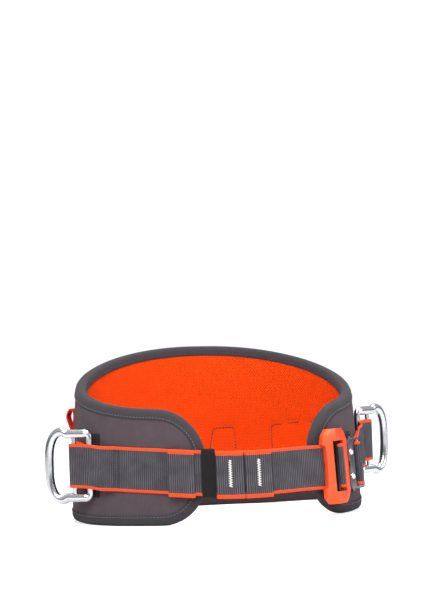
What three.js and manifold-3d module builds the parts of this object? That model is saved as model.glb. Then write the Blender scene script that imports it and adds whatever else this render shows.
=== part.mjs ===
// Work-positioning saddle for tree climbing: a padded waist belt with a side D-ring at each hip and a
// quick-release buckle at the front right. Millimetres, +Z up, the wearer's back towards +Y and the
// buckle towards -Y. Every soft piece is a plain closed solid of its real size.
import * as THREE from "three";
import { mergeVertices } from "three/addons/utils/BufferGeometryUtils.js";
import Module from "manifold-3d";

const wasm = await Module();
wasm.setup();

// Driving dimensions. Distances called "around" are measured along the pad's outer face from the
// middle of the back, positive towards +X. Heights of sewn pieces are measured from the strap line.
const waist = { leftHalf: 162, rightHalf: 146, halfDepth: 110, flare: 0.055 };
const strapLine = { height: 60.5, tilt: 0.079, sideTilt: -0.02 };
const pad = {
  leftEnd: -384,
  rightEnd: 335,
  crestAt: 6,
  topCorner: 50,
  bottomCorner: 46,
  backTop: 112,
  frontTop: 61.5,
  crestFrom: 3,
  crestTo: 150,
  arch: 4.5,
  archFrom: 18,
  archTo: 128,
};
const layers = { cover: 1, foam: 8.6, lining: 1, gap: 0.3 };
const binding = { width: 10, thickness: 1, gap: 0.3 };
const webbing = { width: 45, thickness: 1.5 };
const strapOffsets = { sewn: 1.4, front: 3.7, tail: 5.6 };
const buckle = { height: 51, crease: [93.4, -98.9], leftHeading: 23, heading: 43.5, halfHeight: 38.3 };
const frameBody = { leftLength: 20.4, rightLength: 21, thickness: 5, window: [-5.6, 12.8], windowHalf: 26 };
const tongue = { length: 12, half: 7.2, thickness: 2.6, notch: 1.4 };
const slider = { core: [5.8, 8.8], ridge: [-3.9, -0.7], half: 1.3, ridgeTop: 2.4, clearance: 0.7 };
const receiver = { mouth: 21.5, length: 36, half: 26.5, plate: 1.6, inside: 1.7, cover: 12, strapBar: 25.5 };
const rivet = { along: 5, rise: 12.5, shank: 2, hole: 2.3, foot: 3.2, dome: 3.6 };
const springs = { along: 10.4, foot: 8.3, length: 3.5, radius: 1.1 };
const ring = {
  armHalf: 32.6,
  reach: 46,
  shoulder: 34.8,
  corner: 4,
  armTo: 24,
  bowFrom: 36,
  seatHalf: 5,
  secondBar: 17.5,
  secondBarRadius: 2.4,
  bar: 3.25,
  arm: 4,
  bow: 4.6,
};
const leftRing = { around: -262.3, offset: 7, heading: 144.5, lift: 1.5 };
const rightRing = { around: 199.4, offset: 7.6, heading: 31, lift: 12.6 };
const accessoryLoop = { left: -184, right: 148, width: 19, low: 28.5, high: 51.5, bulge: 8.6, thickness: 1.4 };

const colours = {
  cover: 0x4a4148,
  mesh: 0xf8400a,
  binding: 0x403c40,
  webbing: 0x48454b,
  black: 0x221e1f,
  orange: 0xe94f10,
  steel: 0x8c8c90,
  aluminium: 0xc9cbce,
};

// The plan curve of the pad's outer face.
function planPoint(angle, offset) {
  const { leftHalf, rightHalf, halfDepth } = waist;
  const halfWidth = Math.sin(angle) < 0 ? leftHalf : rightHalf;
  const normal = new THREE.Vector2(Math.sin(angle) / halfWidth, Math.cos(angle) / halfDepth).normalize();
  const point = new THREE.Vector2(halfWidth * Math.sin(angle), halfDepth * Math.cos(angle));
  return point.addScaledVector(normal, offset);
}

const arcSteps = 720;
const arcTable = [0];
for (let i = 1; i <= arcSteps; i++) {
  const step = (Math.PI * 2) / arcSteps;
  arcTable.push(arcTable[i - 1] + planPoint(i * step, 0).distanceTo(planPoint((i - 1) * step, 0)));
}
const perimeter = arcTable[arcSteps];

// The plan angle, from the back, at a distance around the waist.
function angleAt(around) {
  const along = THREE.MathUtils.euclideanModulo(around, perimeter);
  let i = 1;
  while (arcTable[i] < along) i++;
  const share = (along - arcTable[i - 1]) / (arcTable[i] - arcTable[i - 1]);
  return ((i - 1 + share) * Math.PI * 2) / arcSteps;
}

function strapHeightAt(around) {
  const plan = planPoint(angleAt(around), 0);
  return strapLine.height + strapLine.tilt * plan.y + strapLine.sideTilt * plan.x;
}

// A point off the pad's face: the pad leans outwards towards its lower edge.
function onPad(around, offset, height) {
  const plan = planPoint(angleAt(around), offset - waist.flare * height);
  return new THREE.Vector3(plan.x, plan.y, strapHeightAt(around) + height);
}

// A half cosine from 1 down to 0 between two angles in degrees.
function easeDown(degrees, from, to) {
  const share = THREE.MathUtils.clamp((degrees - from) / (to - from), 0, 1);
  return (1 + Math.cos(Math.PI * share)) / 2;
}

// The pad's upper and lower edge at a distance around the waist, inset from the finished edge.
function padEdges(around, inset) {
  const turn = THREE.MathUtils.radToDeg(angleAt(Math.abs(around - pad.crestAt)));
  const crest = easeDown(turn, pad.crestFrom, pad.crestTo);
  const fromArchMiddle = Math.abs(turn * 2 - pad.archFrom - pad.archTo);
  const lift = pad.arch * easeDown(fromArchMiddle, 0, pad.archTo - pad.archFrom);
  const toEnd = Math.min(around - pad.leftEnd, pad.rightEnd - around);
  const rounding = (corner) => {
    const past = THREE.MathUtils.clamp(corner - toEnd, 0, corner - inset);
    return corner - inset - Math.sqrt(Math.max(0, (corner - inset) ** 2 - past * past));
  };
  return {
    top: pad.frontTop + (pad.backTop - pad.frontTop) * crest - inset - rounding(pad.topCorner),
    bottom: lift - strapHeightAt(around) + inset + rounding(pad.bottomCorner),
  };
}

// Places along the pad from its left end to its right end, closer together around the corners.
function padStations(inset) {
  const corner = pad.bottomCorner;
  const cornerSteps = 6;
  const straightSteps = 42;
  const fromEnd = [];
  for (let i = 0; i < cornerSteps; i++) {
    fromEnd.push(corner - (corner - inset) * Math.cos((i * Math.PI) / (2 * cornerSteps)));
  }
  const from = pad.leftEnd + corner;
  const to = pad.rightEnd - corner;
  const middle = [];
  for (let i = 0; i <= straightSteps; i++) {
    middle.push(from + ((to - from) * i) / straightSteps);
  }
  const left = fromEnd.map((distance) => pad.leftEnd + distance);
  const right = fromEnd.toReversed().map((distance) => pad.rightEnd - distance);
  return [...left, ...middle, ...right];
}

// A closed surface through rings of points, with flat ends unless it closes on itself.
function loft(rings, closed = false) {
  const count = rings[0].length;
  const index = [];
  const spans = closed ? rings.length : rings.length - 1;
  for (let i = 0; i < spans; i++) {
    const a = i * count;
    const b = ((i + 1) % rings.length) * count;
    for (let j = 0; j < count; j++) {
      const k = (j + 1) % count;
      index.push(a + j, b + j, b + k, a + j, b + k, a + k);
    }
  }
  const last = (rings.length - 1) * count;
  for (let j = 1; !closed && j < count - 1; j++) {
    index.push(0, j, j + 1, last, last + j + 1, last + j);
  }
  const geometry = new THREE.BufferGeometry().setFromPoints(rings.flat());
  geometry.setIndex(signedVolume(rings.flat(), index) < 0 ? index.toReversed() : index);
  geometry.computeVertexNormals();
  return geometry;
}

function signedVolume(points, index) {
  let volume = 0;
  for (let i = 0; i < index.length; i += 3) {
    const [a, b, c] = [points[index[i]], points[index[i + 1]], points[index[i + 2]]];
    volume += a.dot(b.clone().cross(c)) / 6;
  }
  return volume;
}

// Joins and cuts, by way of manifold solids.
function toSolid(geometry) {
  const bare = geometry.clone();
  bare.deleteAttribute("normal");
  bare.deleteAttribute("uv");
  const merged = mergeVertices(bare, 1e-4);
  return new wasm.Manifold(
    new wasm.Mesh({
      numProp: 3,
      vertProperties: new Float32Array(merged.attributes.position.array),
      triVerts: new Uint32Array(merged.index.array),
    }),
  );
}

function toGeometry(solid) {
  const mesh = solid.getMesh();
  const geometry = new THREE.BufferGeometry();
  geometry.setAttribute("position", new THREE.BufferAttribute(mesh.vertProperties, 3));
  geometry.setIndex(new THREE.BufferAttribute(mesh.triVerts, 1));
  geometry.computeVertexNormals();
  return geometry;
}

function join(...geometries) {
  return toGeometry(geometries.map(toSolid).reduce((sum, next) => sum.add(next)));
}

function cut(geometry, ...tools) {
  return toGeometry(tools.map(toSolid).reduce((rest, tool) => rest.subtract(tool), toSolid(geometry)));
}

const saddle = new THREE.Group();

function addPiece(name, geometry, colour, roughness, metalness = 0, parent = saddle) {
  const material = new THREE.MeshStandardMaterial({ color: colour, roughness, metalness });
  const mesh = new THREE.Mesh(geometry, material);
  mesh.name = name;
  parent.add(mesh);
}

// The pad: cover, foam and lining stacked inwards from the outer face, and a tape folded over the edge.
function padLayer(outer, inner) {
  const inset = binding.thickness + 2 * binding.gap;
  const rings = padStations(inset).map((around) => {
    const { top, bottom } = padEdges(around, inset);
    return [
      onPad(around, outer, top),
      onPad(around, outer, bottom),
      onPad(around, inner, bottom),
      onPad(around, inner, top),
    ];
  });
  return loft(rings);
}

function edgeBinding(padThickness) {
  const upper = [];
  const lower = [];
  for (const around of padStations(0)) {
    const { top, bottom } = padEdges(around, 0);
    upper.push(new THREE.Vector2(around, top));
    lower.unshift(new THREE.Vector2(around, bottom));
  }
  const outline = [...upper, ...lower];
  const { width, thickness, gap } = binding;
  const out = gap + thickness;
  const back = -padThickness;
  const chamfer = 1.1;
  const section = [
    [width, out],
    [chamfer, out],
    [0, out - chamfer],
    [0, back - out + chamfer],
    [chamfer, back - out],
    [width, back - out],
    [width, back - gap],
    [thickness, back - gap],
    [thickness, gap],
    [width, gap],
  ];
  const rings = outline.map((point, i) => {
    const before = outline.at(i - 1);
    const after = outline[(i + 1) % outline.length];
    const along = after.clone().sub(before).normalize();
    const inward = new THREE.Vector2(along.y, -along.x);
    return section.map(([inset, offset]) => {
      const place = point.clone().addScaledVector(inward, inset);
      return onPad(place.x, offset, place.y);
    });
  });
  return loft(rings, true);
}

function addPad() {
  const { cover, foam, lining, gap } = layers;
  const foamOuter = -cover - gap;
  const liningOuter = foamOuter - foam - gap;
  const thickness = -liningOuter + lining;
  addPiece("outer_cover", padLayer(0, -cover), colours.cover, 0.9);
  addPiece("foam_core", padLayer(foamOuter, foamOuter - foam), colours.black, 1);
  addPiece("mesh_lining", padLayer(liningOuter, -thickness), colours.mesh, 0.9);
  addPiece("edge_binding", edgeBinding(thickness), colours.binding, 0.8);
}

// A flat piece sewn on the pad, bent to the waist curve.
function band({ from, to, inner, outer, low, high, lift = 0, step = 12 }) {
  const steps = Math.max(1, Math.ceil(Math.abs(to - from) / step));
  const rings = [];
  for (let i = 0; i <= steps; i++) {
    const around = from + ((to - from) * i) / steps;
    rings.push([
      onPad(around, outer, lift + high),
      onPad(around, outer, lift + low),
      onPad(around, inner, lift + low),
      onPad(around, inner, lift + high),
    ]);
  }
  return loft(rings);
}

// The outward direction of the waist near a point, and the edgewise direction of a piece that leans
// with the pad there.
function leaningUp(point, lean) {
  const { leftHalf, rightHalf, halfDepth } = waist;
  const halfWidth = point.x < 0 ? leftHalf : rightHalf;
  const outward = new THREE.Vector3(point.x / halfWidth ** 2, point.y / halfDepth ** 2, 0).normalize();
  return new THREE.Vector3(0, 0, 1).addScaledVector(outward, -lean);
}

// Webbing on edge along a smooth path through the middle of its thickness and width.
function ribbon(points, spacing, lean = waist.flare) {
  const curve = new THREE.CatmullRomCurve3(points, false, "centripetal");
  const centres = curve.getSpacedPoints(Math.round(curve.getLength() / spacing));
  const rings = centres.map((centre, i) => {
    const before = centres[Math.max(i - 1, 0)];
    const after = centres[Math.min(i + 1, centres.length - 1)];
    const across = new THREE.Vector3(after.y - before.y, before.x - after.x, 0);
    const side = across.setLength(webbing.thickness / 2);
    const up = leaningUp(centre, lean).multiplyScalar(webbing.width / 2);
    return [
      centre.clone().add(side).add(up),
      centre.clone().sub(side).add(up),
      centre.clone().sub(side).sub(up),
      centre.clone().add(side).sub(up),
    ];
  });
  return loft(rings);
}

// Points of a strap that follows the pad, from [around, offset, rise above the strap line] triples.
function followPad(places) {
  return places.map(([around, offset, rise = 0]) => {
    const point = onPad(around, offset, 0);
    point.z += rise;
    return point;
  });
}

// A local frame: x along a plan heading, y up, z away from the wearer on the right-hand side.
function frameAt(x, y, z, headingDegrees, lean) {
  const heading = THREE.MathUtils.degToRad(headingDegrees);
  const along = new THREE.Vector3(Math.cos(heading), Math.sin(heading), 0);
  const level = along.clone().cross(new THREE.Vector3(0, 0, 1));
  const up = new THREE.Vector3(0, 0, 1).addScaledVector(level, -lean).normalize();
  const out = along.clone().cross(up);
  const matrix = new THREE.Matrix4().makeBasis(along, up, out).setPosition(x, y, z);
  const group = new THREE.Group();
  matrix.decompose(group.position, group.quaternion, group.scale);
  saddle.add(group);
  return { group, matrix };
}

// Points given as [along, out, rise] in a local frame, in the saddle's own frame.
function inFrame(frame, places) {
  return places.map(([along, out, rise = 0]) => {
    return new THREE.Vector3(along, rise, out).applyMatrix4(frame.matrix);
  });
}

// Points on an arc about a bar that stands in a local frame.
function aroundBar(along, radius, fromDegrees, toDegrees, rise = 0) {
  const steps = 6;
  const places = [];
  for (let i = 0; i <= steps; i++) {
    const angle = THREE.MathUtils.degToRad(fromDegrees + ((toDegrees - fromDegrees) * i) / steps);
    places.push([along + radius * Math.cos(angle), radius * Math.sin(angle), rise]);
  }
  return places;
}

// A plate drawn on its x and y, from one depth to another, with its outer corners cut or rounded.
function plate(shape, from, to) {
  const options = { depth: to - from, bevelEnabled: false, curveSegments: 4 };
  return new THREE.ExtrudeGeometry(shape, options).translate(0, 0, from);
}

function polygon(points) {
  return new THREE.Shape(points.map(([x, y]) => new THREE.Vector2(x, y)));
}

function roundedRectangle(x0, x1, y0, y1, radius) {
  const shape = new THREE.Shape();
  const turn = Math.PI / 2;
  shape.moveTo(x0 + radius, y0);
  shape.absarc(x1 - radius, y0 + radius, radius, -turn, 0);
  shape.absarc(x1 - radius, y1 - radius, radius, 0, turn);
  shape.absarc(x0 + radius, y1 - radius, radius, turn, 2 * turn);
  shape.absarc(x0 + radius, y0 + radius, radius, 2 * turn, 3 * turn);
  return shape;
}

function block(x0, x1, y0, y1, z0, z1) {
  return plate(roundedRectangle(x0, x1, y0, y1, 0.01), z0, z1);
}

function disc(x, y, radius, z0, z1, sides = 16) {
  const geometry = new THREE.CylinderGeometry(radius, radius, z1 - z0, sides);
  return geometry.rotateX(Math.PI / 2).translate(x, y, (z0 + z1) / 2);
}

function upright(x, radius, half, sides = 10) {
  return new THREE.CylinderGeometry(radius, radius, 2 * half, sides).translate(x, 0, 0);
}

// Sewn webbing on the pad: the back strap, the two sides' straps and the black backing patches.
function addSewnPieces() {
  const flat = { inner: 0.6, low: -webbing.width / 2, high: webbing.width / 2, step: 15 };
  addPiece("back_strap", band({ ...flat, from: -246.5, to: 179.5, outer: 2.1 }), colours.webbing, 0.7);
  const patches = {
    ring_patch_left: { from: -275, to: -249.5, low: -32.5, high: 35.5 },
    ring_patch_right: { from: 183.5, to: 209, low: -21.5, high: 46.5 },
    buckle_patch: { from: 268, to: 295, low: -30, high: 31 },
  };
  for (const [name, extent] of Object.entries(patches)) {
    addPiece(name, band({ ...extent, inner: 0.5, outer: 1.3 }), colours.black, 0.9);
  }
  const left = followPad([
    [-272.8, 10.7],
    [-277.3, 8.8],
    [-287.4, 3.6],
    [-297.4, strapOffsets.sewn],
    [-323, strapOffsets.sewn],
    [-346, 2, -0.4],
    [-369, strapOffsets.front, -1],
  ]);
  addPiece("left_strap", ribbon(left, 6), colours.webbing, 0.7);
}

// The upper half of a D-ring's centre line, from its end bar out to the flat seat of its bow.
function halfRing() {
  const { armHalf, reach, shoulder, corner, armTo, bowFrom, seatHalf } = ring;
  const half = new THREE.Path();
  half.moveTo(0, 0);
  half.lineTo(0, armHalf - corner);
  half.absarc(corner, armHalf - corner, corner, Math.PI, Math.PI / 2, true);
  half.lineTo(armTo, armHalf);
  half.bezierCurveTo(armTo + 5, armHalf, bowFrom - 5, shoulder, bowFrom, shoulder);
  half.bezierCurveTo(bowFrom + 6.5, shoulder, reach, 20, reach, seatHalf);
  return half.getPoints(5);
}

// A D-ring: an end bar, two arms and a bowed outer bar, with a second bar between the arms.
function dRing() {
  const upper = halfRing();
  const lower = upper.slice(1).map((point) => new THREE.Vector2(point.x, -point.y));
  const outline = [...upper, ...lower.toReversed()];
  const sides = 8;
  const rings = outline.map((point, i) => {
    const after = outline[(i + 1) % outline.length];
    const along = after.clone().sub(outline.at(i - 1)).normalize();
    const share = THREE.MathUtils.smoothstep(point.x, ring.armTo - ring.corner, ring.bowFrom);
    const radius = point.x < ring.corner ? ring.bar : THREE.MathUtils.lerp(ring.arm, ring.bow, share);
    const circle = [];
    for (let j = 0; j < sides; j++) {
      const angle = ((j + 0.5) * 2 * Math.PI) / sides;
      const inPlane = radius * Math.cos(angle);
      const place = point.clone().add(new THREE.Vector2(along.y, -along.x).multiplyScalar(inPlane));
      circle.push(new THREE.Vector3(place.x, place.y, radius * Math.sin(angle)));
    }
    return circle;
  });
  return join(loft(rings, true), upright(ring.secondBar, ring.secondBarRadius, ring.armHalf));
}

// The webbing that wraps the ring's two bars, open towards the pad.
function ringLoop(frame, side) {
  const clear = 4.4 * side;
  const foldAt = ring.secondBar + 1.5;
  const fold = aroundBar(foldAt, 3.4, 90, -90).map(([along, out]) => [along, out * side]);
  const run = [[-1.5, clear], [6, clear], ...fold, [6, -clear], [2.5, -clear]];
  return ribbon(inFrame(frame, run), 2.5, 0);
}

function addRing(name, place, side) {
  const plan = planPoint(angleAt(place.around), place.offset);
  const frame = frameAt(plan.x, plan.y, strapHeightAt(place.around) + place.lift, place.heading, 0);
  addPiece("ring_" + name, dRing(), colours.aluminium, 0.25, 1, frame.group);
  addPiece("ring_loop_" + name, ringLoop(frame, side), colours.webbing, 0.7);
}

// Small webbing loops for tools, sewn at their lower ends behind each ring.
function addAccessoryLoop(name, around) {
  const { width, low, high, bulge, thickness } = accessoryLoop;
  const middle = onPad(around, 0.6, 0);
  const outward = onPad(around, 1.6, 0).sub(middle);
  const along = new THREE.Vector3(0, 0, 1).cross(outward);
  const profile = [
    [1.1, low],
    [1.1, low + 8],
    [1.1, high - 5],
    [2.6, high - 1],
    [5.6, high],
    [bulge - 1, high - 3],
    [bulge, high - 8],
    [6.4, low + 8],
    [3.2, low],
  ];
  const curve = new THREE.CatmullRomCurve3(
    profile.map(([out, height]) => onPad(around, 0, height).addScaledVector(outward, out)),
  );
  const centres = curve.getSpacedPoints(22);
  const rings = centres.map((centre, i) => {
    const before = centres[Math.max(i - 1, 0)];
    const tangent = centres[Math.min(i + 1, centres.length - 1)].clone().sub(before).normalize();
    const face = tangent.cross(along).setLength(thickness / 2);
    const reach = along.clone().multiplyScalar(width / 2);
    return [
      centre.clone().add(face).add(reach),
      centre.clone().add(face).sub(reach),
      centre.clone().sub(face).sub(reach),
      centre.clone().sub(face).add(reach),
    ];
  });
  addPiece("accessory_loop_" + name, loft(rings), colours.mesh, 0.7);
}

// The orange adjuster frame: a plate bent along its crease, with the slider's window.
function framePlates(leftFrame, frame) {
  const half = buckle.halfHeight;
  const { leftLength, rightLength, thickness } = frameBody;
  const left = polygon([
    [0.8, half],
    [-13, half],
    [-18.5, half - 6.5],
    [-leftLength, half - 15.5],
    [-15.5, half - 18],
    [-14.6, 0],
    [-15.5, 18 - half],
    [2 - leftLength, 15.5 - half],
    [-18.5, 6.5 - half],
    [-13, -half],
    [0.8, -half],
  ]);
  const right = polygon([
    [-0.8, half],
    [11, half],
    [16.5, half - 4.5],
    [rightLength, half - 12],
    [rightLength, 12 - half],
    [16.5, 4.5 - half],
    [11, -half],
    [-0.8, -half],
  ]);
  const turn = frame.matrix.clone().invert().multiply(leftFrame.matrix);
  const leftPlate = plate(left, -thickness / 2, thickness / 2).applyMatrix4(turn);
  return join(plate(right, -thickness / 2, thickness / 2), leftPlate);
}

// The steel tongue that goes into the receiver, held in the nose of the frame.
function tonguePlate() {
  const { half, length, thickness, notch } = tongue;
  const root = receiver.mouth + 0.9;
  const tip = receiver.mouth + length;
  const narrow = half - notch;
  const outline = polygon([
    [root, narrow],
    [tip - 3, narrow],
    [tip, narrow - 3],
    [tip, 3 - narrow],
    [tip - 3, -narrow],
    [root, -narrow],
  ]);
  return plate(outline, -thickness / 2, thickness / 2);
}

// The shoulder of the frame that the tongue stands in.
function tongueNose() {
  const { half, thickness } = tongue;
  return block(frameBody.rightLength - 3, receiver.mouth + 0.6, -half, half, -thickness / 2, thickness / 2);
}

function addBuckleFrame(leftFrame, frame) {
  const { windowHalf, window, thickness } = frameBody;
  const opening = block(...window, -windowHalf, windowHalf, -2 * thickness, 2 * thickness);
  const body = cut(join(framePlates(leftFrame, frame), tongueNose()), opening);
  addPiece("buckle_frame", body, colours.orange, 0.45, 0, frame.group);
  addPiece("buckle_tongue", tonguePlate(), colours.steel, 0.35, 1, frame.group);
}

// The slider: a flat core for the webbing to wrap and a gripping ridge, joined at their ends.
function addSlider(frame) {
  const { core, ridge, half, ridgeTop, clearance } = slider;
  const reach = frameBody.windowHalf - clearance;
  const inside = webbing.width / 2 + 0.8;
  const ends = [[-reach, -inside], [inside, reach]].map(([low, high]) => {
    return block(ridge[0], core[1], low, high, -half, half);
  });
  const coreBar = block(...core, -reach, reach, -half, half);
  const ridgeBar = plate(roundedRectangle(...ridge, -reach, reach, 1.2), -half, ridgeTop);
  const body = join(coreBar, ridgeBar, ...ends);
  addPiece("slider_bar", body, colours.black, 0.4, 0.6, frame.group);
}

// The front strap: from the left pad under the frame, round the slider's core and back over itself,
// with two folded stops and a folded end.
function addFrontStrap(leftFrame, frame) {
  const { front, tail } = strapOffsets;
  const rise = (around) => {
    const { smoothstep } = THREE.MathUtils;
    return 1.9 * smoothstep(-around, 410, 498) - 2.2 * smoothstep(-around, 330, 410);
  };
  const run = (places, offset) => followPad(places.map((around) => [around, offset, rise(around)]));
  const coreAt = 7.2;
  const wrap = aroundBar(coreAt, 3.9, -75, 180);
  const points = [
    ...run([-370.5, -381.5, -400, -431, -461, -484], front),
    ...inFrame(leftFrame, [[-17, -5.6], [-8, -5.7]]),
    ...inFrame(frame, [[1, -5.6], [4.6, -4.9]]),
    ...inFrame(frame, wrap),
    ...inFrame(frame, [[2.9, -1.6], [1, -3.1]]),
    ...inFrame(leftFrame, [[-8, -3.7], [-17, -3.7]]),
    ...run([-484, -461, -431, -400, -374, -347], tail),
  ];
  const edge = webbing.width / 2 + 0.5;
  const folded = { inner: tail - 0.4, low: -edge, high: edge };
  const fold = (from, to, outer) => {
    return band({ ...folded, from, to, outer, lift: rise((from + to) / 2) });
  };
  const stops = [fold(-393.5, -419.8, 9.6), fold(-422, -448.3, 9.6), fold(-347, -372, 7.9)];
  addPiece("front_strap", join(ribbon(points, 3.4), ...stops), colours.webbing, 0.7);
}

// The elastic keeper: a sleeve round both layers of the strap.
function addKeeper() {
  const outside = { from: -379, to: -392.5, inner: 1.6, outer: 7.6, low: -24.4, high: 24.4 };
  const inside = { from: -376, to: -395.6, inner: 2.6, outer: 6.7, low: -23.3, high: 23.3, step: 6 };
  const [sleeve, hole] = [outside, inside].map((extent) => band({ ...extent, lift: -1.4 }));
  addPiece("elastic_keeper", cut(sleeve, hole), colours.black, 0.9);
}

// The receiver's base: a plate under the mechanism, a step up to the strap's window and its bar, and
// a tab for each spring to stand on.
function receiverBase(holes) {
  const { half, plate: sheet, inside, length, strapBar } = receiver;
  const under = -inside - sheet;
  const top = 1.1;
  const base = plate(roundedRectangle(0, 15, -half, half, 4), under, -inside);
  const step = block(12.6, 15.2, 6 - half, half - 6, under, top);
  const rails = plate(roundedRectangle(12.8, length, -half, half, 4), -1.5, top);
  const window = block(17.6, length - 3.2, -23.6, 23.6, -4, 4);
  const bar = upright(strapBar, 2.4, 24.5);
  const { along, foot } = springs;
  const tabs = [[foot - 0.7, foot], [-foot, 0.7 - foot]].map(([low, high]) => {
    return block(along - 1.2, along + 1.2, low, high, -inside - 0.5, top);
  });
  return cut(join(cut(join(base, step, rails), window), bar, ...tabs), ...holes);
}

// The cover plate, with a slot in its front edge.
function receiverCover(holes) {
  const { half, plate: sheet, inside, cover } = receiver;
  const outline = roundedRectangle(0.3, cover, 0.5 - half, half - 0.5, 5);
  const slot = block(0, 2.6, -3.4, 3.4, 0, 6);
  return cut(plate(outline, inside, inside + sheet), slot, ...holes);
}

// A rivet with a domed head outside the cover and a flat foot under the base.
function domedRivet(y) {
  const { along, shank, foot, dome } = rivet;
  const outside = receiver.inside + receiver.plate + 0.3;
  const slope = Math.PI / 2.4;
  const cap = new THREE.SphereGeometry(dome, 12, 4, 0, Math.PI * 2, 0, slope).rotateX(Math.PI / 2);
  const head = closeFlat(cap).translate(along, y, outside - dome * Math.cos(slope));
  const stem = disc(along, y, shank, -outside, outside + 0.4, 12);
  return join(head, stem, disc(along, y, foot, -outside - 0.7, -outside, 12));
}

// A dome cut flat across its open side.
function closeFlat(dome) {
  const { widthSegments: columns, heightSegments: rows, radius } = dome.parameters;
  const position = dome.attributes.position;
  const rings = [];
  for (let row = 1; row <= rows; row++) {
    const circle = [];
    for (let column = 0; column < columns; column++) {
      circle.push(new THREE.Vector3().fromBufferAttribute(position, row * (columns + 1) + column));
    }
    rings.push(circle);
  }
  const crown = new THREE.Vector3(0, 0, radius);
  rings.unshift(rings[0].map((point) => crown.clone().lerp(point, 0.05)));
  return loft(rings);
}

// A side clip: it turns on its rivet, hooks the tongue and has a finger pad at the edge.
function sideClip(side) {
  const padTop = receiver.half + 2.2;
  const outline = [
    [2.2, 6.1],
    [4.4, 6.1],
    [5, 8],
    [8.8, 12.2],
    [10.9, 14.5],
    [10.4, 22],
    [11.8, 27],
    [11.8, padTop],
    [8.4, padTop],
    [7, 18],
    [2.6, 16.6],
    [0.8, 13],
    [1.4, 8.4],
  ];
  const clip = polygon(outline.map(([x, y]) => [x, side * y]));
  const hole = disc(rivet.along, side * rivet.rise, rivet.hole, -3, 3, 12);
  return cut(plate(clip, -1.3, 1.3), hole);
}

// The coil spring that pushes a clip's finger pad out, standing on a tab of the base.
function clipSpring(side) {
  const { along, foot, length, radius } = springs;
  const coil = new THREE.CylinderGeometry(radius, radius, length, 8);
  return coil.translate(along, side * (foot + 0.3 + length / 2), 0);
}

function addReceiver(frame) {
  const { along, rise, hole } = rivet;
  const holes = [-rise, rise].map((y) => disc(along, y, hole, -6, 6, 12));
  const metal = (name, geometry, roughness, colour = colours.steel) => {
    addPiece(name, geometry, colour, roughness, 1, frame.group);
  };
  metal("receiver_base", receiverBase(holes), 0.35);
  metal("receiver_cover", receiverCover(holes), 0.35);
  for (const [name, side] of [["upper", 1], ["lower", -1]]) {
    metal("rivet_" + name, domedRivet(side * rise), 0.2, colours.aluminium);
    metal("clip_" + name, sideClip(side), 0.35);
    metal("spring_" + name, clipSpring(side), 0.35);
  }
}

const leftFrame = frameAt(...buckle.crease, buckle.height, buckle.leftHeading, waist.flare);
const buckleFrame = frameAt(...buckle.crease, buckle.height, buckle.heading, waist.flare);
const mouth = new THREE.Vector3(receiver.mouth, 0, 0).applyMatrix4(buckleFrame.matrix);
const receiverFrame = frameAt(mouth.x, mouth.y, mouth.z, buckle.heading, waist.flare);

// The right strap: round the receiver's bar, back along the pad and out to the right ring.
function addRightStrap(frame) {
  const points = [
    ...followPad([
      [211.4, 10.8, 11.3],
      [215.5, 8.8, 10.5],
      [223.4, 4.5, 8.7],
      [234, 3.2, 5.4],
      [246, 3.2, 2.4],
    ]),
    ...inFrame(frame, [[32, -3.6], [30, -1.9]]),
    ...inFrame(frame, aroundBar(receiver.strapBar, 3.6, 0, 180)),
    ...inFrame(frame, [[22.3, -2.6], [25, -4.9]]),
    ...followPad([[259, 1.4, -0.6], [245, 1.4], [232, 1.4, 2]]),
  ];
  addPiece("right_strap", ribbon(points, 3), colours.webbing, 0.7);
}

addPad();
addSewnPieces();
addRing("left", leftRing, -1);
addRing("right", rightRing, 1);
addAccessoryLoop("left", accessoryLoop.left);
addAccessoryLoop("right", accessoryLoop.right);
addBuckleFrame(leftFrame, buckleFrame);
addSlider(buckleFrame);
addFrontStrap(leftFrame, buckleFrame);
addKeeper();
addReceiver(receiverFrame);
addRightStrap(receiverFrame);

// The origin is the middle of the whole belt's footprint, on the surface that it stands on.
saddle.updateMatrixWorld(true);
const footprint = new THREE.Box3().setFromObject(saddle, true);
const centre = footprint.getCenter(new THREE.Vector3());
saddle.position.set(-centre.x, -centre.y, -footprint.min.z);

export default saddle;
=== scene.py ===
import math

import bmesh
import bpy
import numpy as np
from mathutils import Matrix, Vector


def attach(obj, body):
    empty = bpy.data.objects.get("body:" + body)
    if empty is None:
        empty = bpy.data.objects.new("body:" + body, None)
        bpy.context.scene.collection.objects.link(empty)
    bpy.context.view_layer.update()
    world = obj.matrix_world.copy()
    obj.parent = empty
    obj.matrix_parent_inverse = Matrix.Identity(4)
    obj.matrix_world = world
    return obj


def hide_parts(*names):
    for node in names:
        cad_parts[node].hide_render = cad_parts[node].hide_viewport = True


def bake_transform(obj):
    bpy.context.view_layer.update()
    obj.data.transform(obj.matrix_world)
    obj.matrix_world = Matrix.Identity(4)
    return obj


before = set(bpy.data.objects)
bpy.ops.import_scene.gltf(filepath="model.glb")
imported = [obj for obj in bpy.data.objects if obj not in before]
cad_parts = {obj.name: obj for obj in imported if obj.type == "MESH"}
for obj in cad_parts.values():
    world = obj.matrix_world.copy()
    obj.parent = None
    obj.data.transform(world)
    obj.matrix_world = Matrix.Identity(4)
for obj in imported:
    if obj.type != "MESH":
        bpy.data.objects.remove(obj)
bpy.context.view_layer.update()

mm = 0.001

# the waist that everything is wrapped round, in millimetres, from the middle of the plan ellipse
waist = {"leftHalf": 162, "rightHalf": 146, "halfDepth": 110, "flare": 0.055, "middle": (-0.631, 3.001)}
strapLine = {"height": 60.5, "tilt": 0.079, "sideTilt": -0.02}
webbing = {"width": 45, "thickness": 1.5, "edge": 3}


# camera, light and floor

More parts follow.
